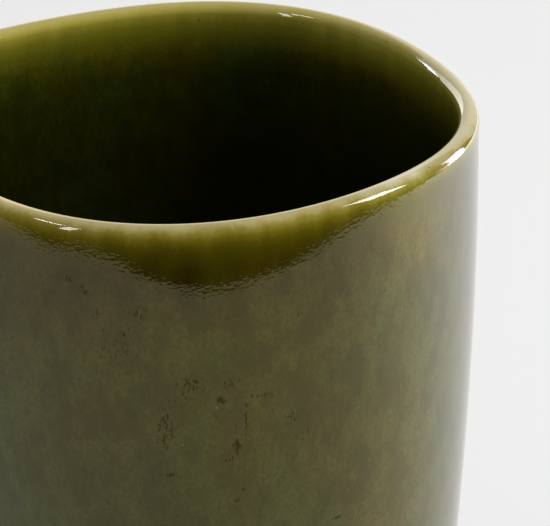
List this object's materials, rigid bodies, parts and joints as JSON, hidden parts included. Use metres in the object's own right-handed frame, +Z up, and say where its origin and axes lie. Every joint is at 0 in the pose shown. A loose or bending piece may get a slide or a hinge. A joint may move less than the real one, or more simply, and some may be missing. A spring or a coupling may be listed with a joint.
{
  "type": "vase",
  "caption": "Tall tapered stoneware vase, pressed slightly out of round, glossy olive glaze inside and out, rounded lip that breaks to tan, bare foot ring.",
  "frame": {"origin": "centre of the foot ring's resting face", "axes": "+Z up through the mouth, -Y towards the front, the side that faces the viewer, and +X to the viewer's right"},
  "size_m": [0.1326, 0.1426, 0.21],
  "materials": {
    "bare_clay": "fired and unglazed, fine grit, matt",
    "olive_glaze": "glossy olive, streaked and mottled with grey-green and brown, fine dark specks",
    "rim_glaze": "glossy, thin on the crest, where it breaks to tan, and olive again below it",
    "inner_glaze": "very glossy dark olive, with brown run marks"
  },
  "bodies": {
    "root": {"foot_ring": "bare_clay", "base_slab": "bare_clay", "corner_coil": "bare_clay", "body_wall": "bare_clay", "rolled_lip": "bare_clay", "outer_glaze": "olive_glaze", "rim_glaze": "rim_glaze", "inner_glaze": "inner_glaze", "floor_glaze": "inner_glaze", "underside_glaze": "olive_glaze"}
  },
  "joints": []
}
